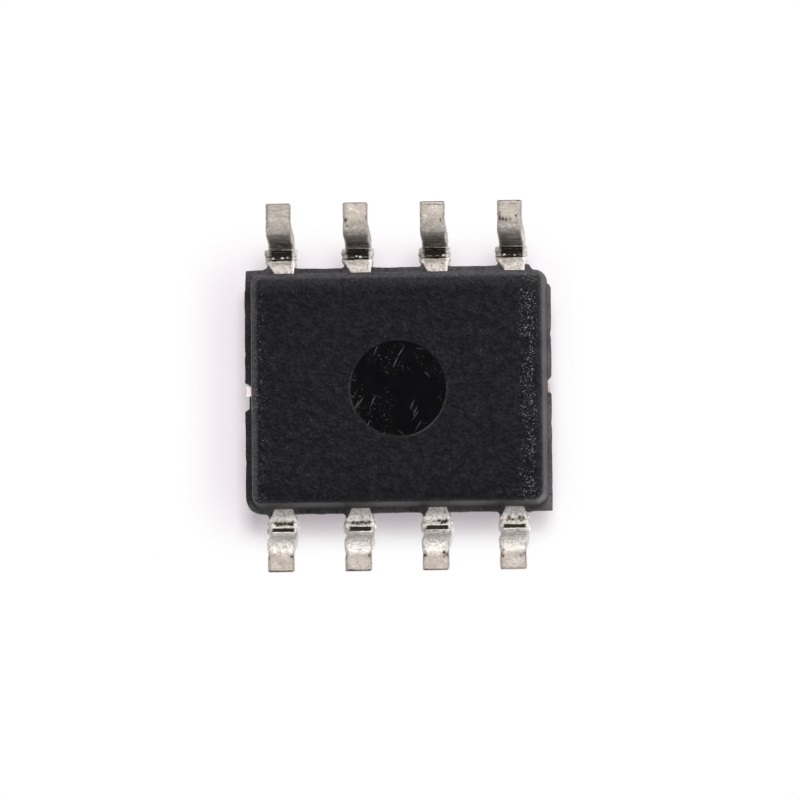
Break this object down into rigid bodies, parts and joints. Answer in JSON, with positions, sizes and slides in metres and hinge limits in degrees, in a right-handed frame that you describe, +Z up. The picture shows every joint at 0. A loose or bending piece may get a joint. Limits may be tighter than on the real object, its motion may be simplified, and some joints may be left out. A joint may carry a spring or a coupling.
{
  "type": "small-outline integrated circuit",
  "caption": "Black moulded small-outline chip with two rows of tin-plated gull-wing leads, standing on its feet; surface-mounts on a circuit board.",
  "frame": {"origin": "centre of the seating plane under the leads' soles, midway between the rows", "axes": "+Z up towards the top face, X along the body, Y across the rows; lead 1 is at -X and -Y and the numbers run anticlockwise seen from above"},
  "size_m": [0.005, 0.006, 0.0016],
  "materials": {
    "moulding_resin": "black mould compound, fine satin grain",
    "tinned_lead": "matte tin plate over copper",
    "lead_frame_copper": "bare copper alloy, cut at the tie bars",
    "silver_epoxy": "silver-filled die attach",
    "silicon": "polished silicon under clear passivation",
    "gold_wire": "bright drawn gold"
  },
  "bodies": {
    "root": {"mould_body": "moulding_resin", "lead_1": "tinned_lead", "lead_2": "tinned_lead", "lead_3": "tinned_lead", "lead_4": "tinned_lead", "lead_5": "tinned_lead", "lead_6": "tinned_lead", "lead_7": "tinned_lead", "lead_8": "tinned_lead", "die_pad": "lead_frame_copper", "die_attach": "silver_epoxy", "silicon_die": "silicon", "bond_wire_1": "gold_wire", "bond_wire_2": "gold_wire", "bond_wire_3": "gold_wire", "bond_wire_4": "gold_wire", "bond_wire_5": "gold_wire", "bond_wire_6": "gold_wire", "bond_wire_7": "gold_wire", "bond_wire_8": "gold_wire"}
  },
  "joints": []
}
